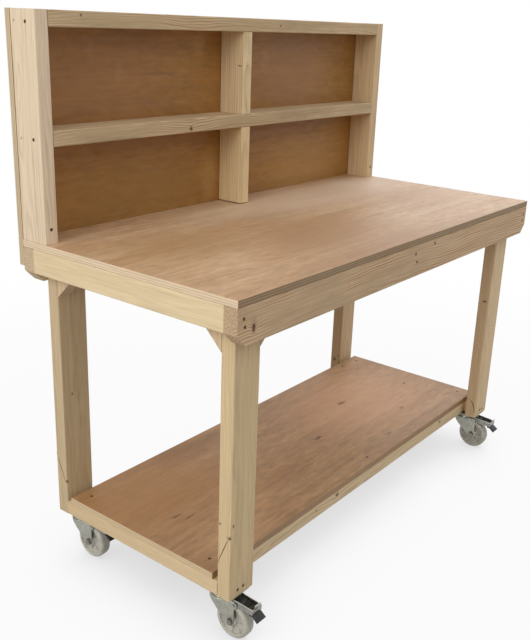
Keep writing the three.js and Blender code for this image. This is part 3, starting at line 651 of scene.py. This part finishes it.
# Castor forks
# Each fork is one piece of 2.5 mm steel, pressed into a crown with two cheeks bent down past
# the wheel. A pressed race is swaged on top, and a hollow rivet holds the brake lever.
swivel_offset = 38.0
axle_height = 50.0
axle_y = -swivel_offset
pivot_ahead = 13.0
pivot_above = 53.5
pivot_y = axle_y - pivot_ahead
pivot_z = axle_height + pivot_above
pivot = (0.0, pivot_y, pivot_z)
crown_top = 111.0
cheek_outside = 21.0
foot_radius = 11.0
ear_radius = 7.0
rivet_radius = 3.0
sheet_thick = 2.5
bend_radius = 4.0
bend_start = crown_top - bend_radius


# A sweep from start to end that leans towards control
def curve(start, control, end, steps):
    points = []
    for t in [i / steps for i in range(steps + 1)]:
        points.append(tuple((1 - t) ** 2 * a + 2 * t * (1 - t) * b + t * t * c
                            for a, b, c in zip(start, control, end)))
    return points


def soften(mesh, width, segments=2, sharper=35.0, faces=None):
    edges = [e for e in (mesh.edges if faces is None else {e for f in faces for e in f.edges})
             if len(e.link_faces) == 2 and e.calc_face_angle(0.0) > math.radians(sharper)]
    bmesh.ops.bevel(mesh, geom=edges, offset=width, offset_type="OFFSET", segments=segments, profile=0.5,
                    affect="EDGES", material=-1, clamp_overlap=True)


ear_end = (pivot_y - ear_radius, pivot_z)
foot_end = (axle_y - foot_radius, pivot_z - 2 * ear_radius)
cheek = arc(axle_y, axle_height, foot_radius, 180, 315, 14)
cheek += curve(cheek[-1], (21.5, 78.0), (29.0, 96.0), 10)[1:]
cheek += [(29.0, bend_start)]
cheek += [(pivot_y, bend_start)]
cheek += arc(pivot_y, crown_top - ear_radius, ear_radius, 118, 180, 6)
cheek += curve(ear_end, (pivot_y - ear_radius, pivot_z - ear_radius), foot_end, 8)[1:]

# One cheek is bent over into half the crown, mirrored, and given its thickness
fork = bmesh.new()
side = outline(fork, cheek, -cheek_outside)
top_edge = [e for e in side.edges if all(abs(v.co.z - bend_start) < 0.01 for v in e.verts)]
bend_centre = (bend_radius - cheek_outside, 0.0, bend_start)
bent = bmesh.ops.spin(fork, geom=top_edge, cent=bend_centre, axis=(0.0, 1.0, 0.0), angle=math.pi / 2, steps=6)
bent = [e for e in bent["geom_last"] if isinstance(e, bmesh.types.BMEdge)]
flat = bmesh.ops.extrude_edge_only(fork, edges=bent)["geom"]
flat = [v for v in flat if isinstance(v, bmesh.types.BMVert)]
bmesh.ops.translate(fork, vec=(cheek_outside - bend_radius, 0.0, 0.0), verts=flat)
bmesh.ops.mirror(fork, geom=fork.verts[:] + fork.edges[:] + fork.faces[:], axis="X", merge_dist=0.01)
bmesh.ops.remove_doubles(fork, verts=fork.verts, dist=0.01)
bmesh.ops.recalc_face_normals(fork, faces=fork.faces)
if sum(f.normal.z * f.calc_area() for f in fork.faces if abs(f.normal.z) > 0.9) < 0:
    bmesh.ops.reverse_faces(fork, faces=fork.faces)
bmesh.ops.solidify(fork, geom=fork.faces[:], thickness=sheet_thick)
soften(fork, 0.5, 2, 60.0)
race = [(0.0, 108.2), (30.5, 108.2), (32.4, 108.6), (33.0, 109.6), (32.4, 110.6), (30.8, 111.0),
        (30.2, 111.2), (29.4, 112.2), (27.6, 117.2), (26.6, 118.2), (22.2, 118.2), (21.2, 117.4),
        (20.8, 112.0), (20.0, 111.2), (0.0, 111.2)]
lathe(fork, race, "z", 72)
rolled_end = ((0.0, -0.4), (2.2, -0.4), (2.7, 0.9), (3.4, 1.6),
              (4.4, 1.4), (5.0, 0.6), (5.0, -1.0), (0.0, -1.2))
for side in (-1, 1):
    lathe(fork, [(radius, (cheek_outside + out) * side) for radius, out in rolled_end], "x", 32, pivot)
rivet = [(0.0, -cheek_outside), (rivet_radius, -cheek_outside),
         (rivet_radius, cheek_outside), (0.0, cheek_outside)]
lathe(fork, rivet, "x", 32, pivot)
fit_to_castors(finish_mesh(fork, "pressed_fork"), "fork", zinc_satin, "fork")


# Castor axles
# A zinc-plated hexagon bolt passes through the cheeks over plain washers, closed by a locking
# nut with a raised collar. The bolt's threaded end stands a little past the nut.
def hexagon(mesh, flats, start, end, chamfer):
    corner = flats / 2 / math.cos(math.pi / 6)
    ring = arc(axle_y, axle_height, corner, 0, 300, 5)
    face = outline(mesh, ring, start)
    made = extrude(mesh, [face], (end - start, 0.0, 0.0))
    soften(mesh, chamfer, 2, 80.0, [f for f in made if isinstance(f, bmesh.types.BMFace)])


axle = bmesh.new()
centre = (0.0, axle_y, axle_height)
across_flats = 15.0
hexagon(axle, across_flats, -22.2, -26.2, 0.8)
hexagon(axle, across_flats, 22.2, 27.0, 0.8)
washer = ((0.0, 21.1), (9.0, 21.1), (9.4, 21.5), (9.4, 22.0), (9.0, 22.3), (0.0, 22.3))
for side in (-1, 1):
    lathe(axle, [(radius, out * side) for radius, out in washer], "x", 48, centre)
nut_collar = [(0.0, 26.6), (6.6, 26.6), (6.6, 28.0), (5.6, 28.3), (0.0, 28.3)]
lathe(axle, nut_collar, "x", 40, centre)
thread = [(0.0, -21.5), (5.0, -21.5)]
for turn in range(5):
    thread += [(5.0, 26.0 + turn), (4.5, 26.5 + turn)]
thread += [(4.6, 30.4), (4.2, 30.8), (0.0, 30.8)]
lathe(axle, thread, "x", 32, centre)
fit_to_castors(finish_mesh(axle, "axle_bolt", 30.0), "fork", zinc_dull, "axle")


# Castor wheels
# Natural nylon, moulded in one: a rounded tread, thin web with ribs and a long hub. The
# milky plastic lets a little light in, and its skin is scuffed grey from rolling.
nylon, tree = new_material("Moulded natural nylon")
place = add(tree, "TexCoord").outputs["Object"]
milk = add(tree, "TexNoise", {"Vector": place, "Scale": 1 / (26 * mm), "Detail": 3.0})
milk = add(tree, "MapRange", {0: milk, 1: 0.3, 2: 0.7}, **gentle)
scuff = add(tree, "TexNoise", {"Vector": place, "Scale": 1 / (3.8 * mm), "Detail": 4.0, "Roughness": 0.7})
worn = add(tree, "MapRange", {0: scuff, 1: 0.5, 2: 0.75, 3: 0.0, 4: 0.5}, **gentle)
colour = add(tree, "Mix", {0: milk, 1: linear("#c9c5b8"), 2: linear("#b5b1a4")}, **colours)
colour = add(tree, "Mix", {0: worn, 1: colour, 2: linear("#a4a29b")}, **colours)
gloss = add(tree, "MapRange", {0: scuff, 1: 0.3, 2: 0.7, 3: 0.34, 4: 0.52}, **gentle)
bump = add(tree, "Bump", {"Strength": 0.2, "Distance": 0.15 * mm, "Height": scuff})
shader = add(tree, "BsdfPrincipled", {
    "Base Color": colour,
    "Roughness": gloss,
    "IOR": 1.53,
    "Subsurface Weight": 0.75,
    "Subsurface Radius": (1.0, 0.95, 0.85),
    "Subsurface Scale": 7 * mm,
    "Normal": bump,
})
add(tree, "OutputMaterial", {0: shader})

# Half the wheel's section, from the bore past the hub and web to the rounded tread
wheel = bmesh.new()
half = [(5.3, 18.2), (12.6, 18.2), (13.6, 17.8), (14.0, 16.8), (14.4, 10.5), (15.4, 9.3), (17.0, 9.0),
        (35.4, 9.0), (37.0, 9.6), (37.6, 10.8), (38.0, 14.6), (38.5, 15.6), (39.5, 16.0)]
half += [(radius, out) for out, radius in arc(7.0, 41.0, 9.0, 0, 90, 12)]
section = half + [(radius, -out) for radius, out in reversed(half)]
lathe(wheel, section + [section[0]], "x", 96, centre)
rib_count = 8
rib_size = (22.0, 2.4, 26.0)
rib_from_axle = 26.0
for index in range(rib_count):
    rib = bmesh.new()
    bmesh.ops.create_cube(rib, size=1.0)
    bmesh.ops.scale(rib, vec=rib_size, verts=rib.verts)
    soften(rib, 0.7, 2)
    bmesh.ops.translate(rib, vec=(0.0, 0.0, rib_from_axle), verts=rib.verts)
    turn = Matrix.Rotation(math.tau * index / rib_count, 3, "X")
    bmesh.ops.rotate(rib, cent=(0.0, 0.0, 0.0), matrix=turn, verts=rib.verts)
    bmesh.ops.translate(rib, vec=centre, verts=rib.verts)
    part = mesh_data(rib, "rib")
    wheel.from_mesh(part)
    bpy.data.meshes.remove(part)
fit_to_castors(finish_mesh(wheel, "nylon_wheel"), "wheel", nylon, "wheel")


# Brake levers
# A bright zinc channel on the fork's rivet: two side walls, a floor, an upturned toe tab for
# letting the brake off, and a curved shoe that meets the tread when the pedal is down.
lever_out = 17.8
lever_in = 15.8
floor_half = 16.6
tab_half = 11.0
shoe_half = 12.0
shoe_radius = 50.5
press_turn = math.radians(12.0)
wall = [(-54.0, -5.0)] + arc(0.0, 0.0, 5.0, -90, 0, 6) + [(8.0, 5.0), (8.0, 11.0)]
wall += arc(6.4, 10.8, 1.6, 20, 85, 4) + [(-52.6, 9.5), (-54.0, 8.2)]
lever = bmesh.new()
for start, end in ((-lever_out, -lever_in), (lever_in, lever_out)):
    extrude(lever, [outline(lever, wall, start)], (end - start, 0.0, 0.0))
for points, width in (
    ([(-42.0, -5.0), (-14.0, -5.0), (-14.0, -3.0), (-42.0, -3.0)], floor_half),
    ([(-54.0, -5.0), (-52.0, -5.0), (-52.0, 9.5), (-54.0, 9.5)], floor_half),
    ([(-54.0, 7.5), (-52.0, 7.5), (-54.2, 19.4), (-55.2, 20.5), (-56.6, 19.9)], tab_half),
):
    extrude(lever, [outline(lever, points, -width)], (width * 2, 0.0, 0.0))
soften(lever, 0.45, 2, 40.0)

# The shoe is hollowed to the tread's curve, as it lies when the lever is fully pressed
pivot_radius = math.hypot(pivot_ahead, pivot_above)
aim = math.atan2(-pivot_above, pivot_ahead) - press_turn
wheel_y, wheel_z = pivot_radius * math.cos(aim), pivot_radius * math.sin(aim)
shoe = [(y, wheel_z + math.sqrt(shoe_radius ** 2 - (y - wheel_y) ** 2)) for y in range(-28, -15)]
shoe += [(-16.0, -4.0), (-28.0, -4.0)]
extrude(lever, [outline(lever, shoe, -shoe_half)], (shoe_half * 2, 0.0, 0.0))
bmesh.ops.translate(lever, vec=pivot, verts=lever.verts)
fit_to_castors(finish_mesh(lever, "brake_channel", 30.0), "brake", zinc_channel, "brake_lever")


# Brake pedals
# Black moulded nylon fills the channel as a tray and droops in front of it as a foot pad.
# Its skin is finely grained and semi-matt, with pale dust in patches where shoes meet it.
black, tree = new_material("Moulded black nylon")
place = add(tree, "TexCoord").outputs["Object"]
grain = add(tree, "TexNoise", {"Vector": place, "Scale": 1 / (1.1 * mm), "Detail": 2.0})
dust = add(tree, "TexNoise", {"Vector": place, "Scale": 1 / (14 * mm), "Detail": 3.0})
dusty = add(tree, "MapRange", {0: dust, 1: 0.45, 2: 0.75, 3: 0.0, 4: 0.5}, **gentle)
colour = add(tree, "Mix", {0: dusty, 1: linear("#1d1d1c"), 2: linear("#403c36")}, **colours)
gloss = add(tree, "MapRange", {0: dust, 1: 0.3, 2: 0.7, 3: 0.38, 4: 0.55}, **gentle)
bump = add(tree, "Bump", {"Strength": 0.35, "Distance": 0.1 * mm, "Height": grain})
shader = add(tree, "BsdfPrincipled", {"Base Color": colour, "Roughness": gloss, "IOR": 1.5, "Normal": bump})
add(tree, "OutputMaterial", {0: shader})

pedal = bmesh.new()
tray = [(8.0, 9.0), (-12.0, 8.0), (-15.0, 3.4), (-30.0, 2.4), (-30.0, 5.6), (-31.6, 5.5), (-31.6, 2.3),
        (-47.0, 1.6), (-48.0, 6.2), (-51.7, 6.0), (-51.7, -8.3), (-42.3, -8.3), (-42.3, -1.0), (8.0, 1.0)]
pad = [(-51.7, -5.3), (-70.0, -18.3), (-66.2, -23.0), (-51.7, -11.0), (-42.3, -11.0), (-42.3, -5.3)]
pedal_half = 15.5
for points in (tray, pad):
    extrude(pedal, [outline(pedal, points, -pedal_half)], (pedal_half * 2, 0.0, 0.0))

# Four low ribs across the pad stop a shoe from slipping
pad_reach, pad_drop = 18.3, 13.0
rib_size = (27.0, 1.6, 0.9)
slope = math.atan2(pad_drop, pad_reach)
for share in (0.22, 0.41, 0.6, 0.79):
    y, z = pad[0][0] - pad_reach * share, pad[0][1] - pad_drop * share
    rib = bmesh.ops.create_cube(pedal, size=1.0)["verts"]
    bmesh.ops.scale(pedal, vec=rib_size, verts=rib)
    bmesh.ops.rotate(pedal, cent=(0.0, 0.0, 0.0), matrix=Matrix.Rotation(slope, 3, "X"), verts=rib)
    bmesh.ops.translate(pedal, vec=(0.0, y, z), verts=rib)
soften(pedal, 0.5, 2, 30.0)
bmesh.ops.translate(pedal, vec=pivot, verts=pedal.verts)
fit_to_castors(finish_mesh(pedal, "foot_pedal", 30.0), "brake", black, "brake_pedal")


# Floor and light
# A plain pale paper floor that runs off to white, three soft windows with the strongest at the
# upper left, and a white room that the metal mirrors. The paper keeps the bench's shadow, and a
# soft shadow close under the bench is painted into its glow.
floor_half = 40.0
floor_gap = 0.5 * mm
pure_white = (1.0, 1.0, 1.0, 1.0)
floor_mesh = bmesh.new()
bmesh.ops.create_grid(floor_mesh, x_segments=1, y_segments=1, size=floor_half)
bmesh.ops.translate(floor_mesh, vec=(0.0, 0.0, -floor_gap), verts=floor_mesh.verts)
floor = place_in_scene("studio_floor", mesh_data(floor_mesh, "studio_floor"))


# What the camera sees, straight on or in a mirror
def seen_rays(tree):
    rays = add(tree, "LightPath").outputs
    mirrored = {0: rays["Is Glossy Ray"], 1: rays["Is Transmission Ray"]}
    mirrored = add(tree, "Math", mirrored, operation="MAXIMUM")
    return add(tree, "Math", {0: rays["Is Camera Ray"], 1: mirrored}, operation="MAXIMUM")


paper, tree = new_material("White studio paper")
place = add(tree, "TexCoord").outputs["Object"]
tooth = add(tree, "TexNoise", {"Vector": place, "Scale": 1 / (330 * mm)})
tooth = add(tree, "MapRange", {0: tooth, 1: 0.3, 2: 0.7}, **gentle)
tint = add(tree, "Mix", {0: tooth, 1: linear("#b9b8b6"), 2: linear("#b4b3b1")}, **colours)
matt = add(tree, "BsdfDiffuse", {"Color": tint})
# Painted shadow: the paper's glow dims where the bench is close above it
under = add(tree, "AmbientOcclusion", {"Distance": 0.3}).outputs["AO"]
painted_contact_shadow = add(tree, "MapRange", {0: under, 1: 0.1, 2: 0.95, 3: 0.7, 4: 1.0}, **gentle)
lit = add(tree, "Emission", {"Color": pure_white, "Strength": painted_contact_shadow})
outward = add(tree, "VectorMath", {0: place}, operation="LENGTH")
glow = add(tree, "MapRange", {0: outward, 1: 0.9, 2: 3.2, 3: 0.94, 4: 1.0}, **gentle)
seen = add(tree, "Math", {0: seen_rays(tree), 1: glow}, operation="MULTIPLY")
add(tree, "OutputMaterial", {0: add(tree, "MixShader", {0: seen, 1: matt, 2: lit})})
floor.data.materials.append(paper)

world = bpy.data.worlds.new("White room")
world.use_nodes = True
tree = world.node_tree
tree.nodes.clear()
height = add(tree, "SeparateXYZ", {0: add(tree, "TexCoord").outputs["Generated"]}).outputs["Z"]
ceiling = add(tree, "MapRange", {0: height, 1: -0.1, 2: 0.9, 3: 0.3, 4: 0.72}, **gentle)
room = add(tree, "Background", {"Color": pure_white, "Strength": ceiling})
white = add(tree, "Background", {"Color": pure_white, "Strength": 1.0})
add(tree, "OutputWorld", {0: add(tree, "MixShader", {0: seen_rays(tree), 1: room, 2: white})})
bpy.context.scene.world = world

bench_middle = Vector((0.0, 0.0, 0.7))
for name, place, size, watts in (
    ("window", (-3.8, -0.2, 2.6), 2.2, 70.0),
    ("far_window", (3.2, 0.2, 2.6), 3.0, 47.0),
    ("front_window", (-0.6, -3.2, 4.0), 2.4, 21.0),
):
    lamp = bpy.data.lights.new(name, "AREA")
    lamp.size = size
    lamp.energy = watts
    made = place_in_scene(name, lamp)
    made.location = place
    made.rotation_euler = (bench_middle - Vector(place)).to_track_quat("-Z", "Y").to_euler()


# Camera
# It stands off the bench's front left corner, level with the top of the back panel, and takes
# the photograph's angle and framing.
photo_width, photo_height = 530, 640
focal_pixels = 850.621
aim_x, aim_y = 281.929, 313.905
sensor = 36
camera_place = (-2.005147, -1.391922, 1.437779)
yaw, pitch, roll = math.radians(53.293), math.radians(-18.985), math.radians(2.401)
ahead = Vector((math.sin(yaw) * math.cos(pitch), math.cos(yaw) * math.cos(pitch), math.sin(pitch)))
right = Vector((math.cos(yaw), -math.sin(yaw), 0.0))
upward = right.cross(ahead)
tilted_right = right * math.cos(roll) + upward * math.sin(roll)
tilted_up = upward * math.cos(roll) - right * math.sin(roll)
lens = bpy.data.cameras.new("camera")
lens.lens = focal_pixels / photo_height * sensor
lens.shift_x = (photo_width / 2 - aim_x) / photo_height
lens.shift_y = (aim_y - photo_height / 2) / photo_height
lens.clip_end = 100.0
camera = place_in_scene("camera", lens)
turned = Matrix((tilted_right, tilted_up, -ahead)).transposed().to_4x4()
camera.matrix_world = Matrix.Translation(camera_place) @ turned
bpy.context.scene.camera = camera
bpy.context.scene.view_settings.view_transform = "Standard"
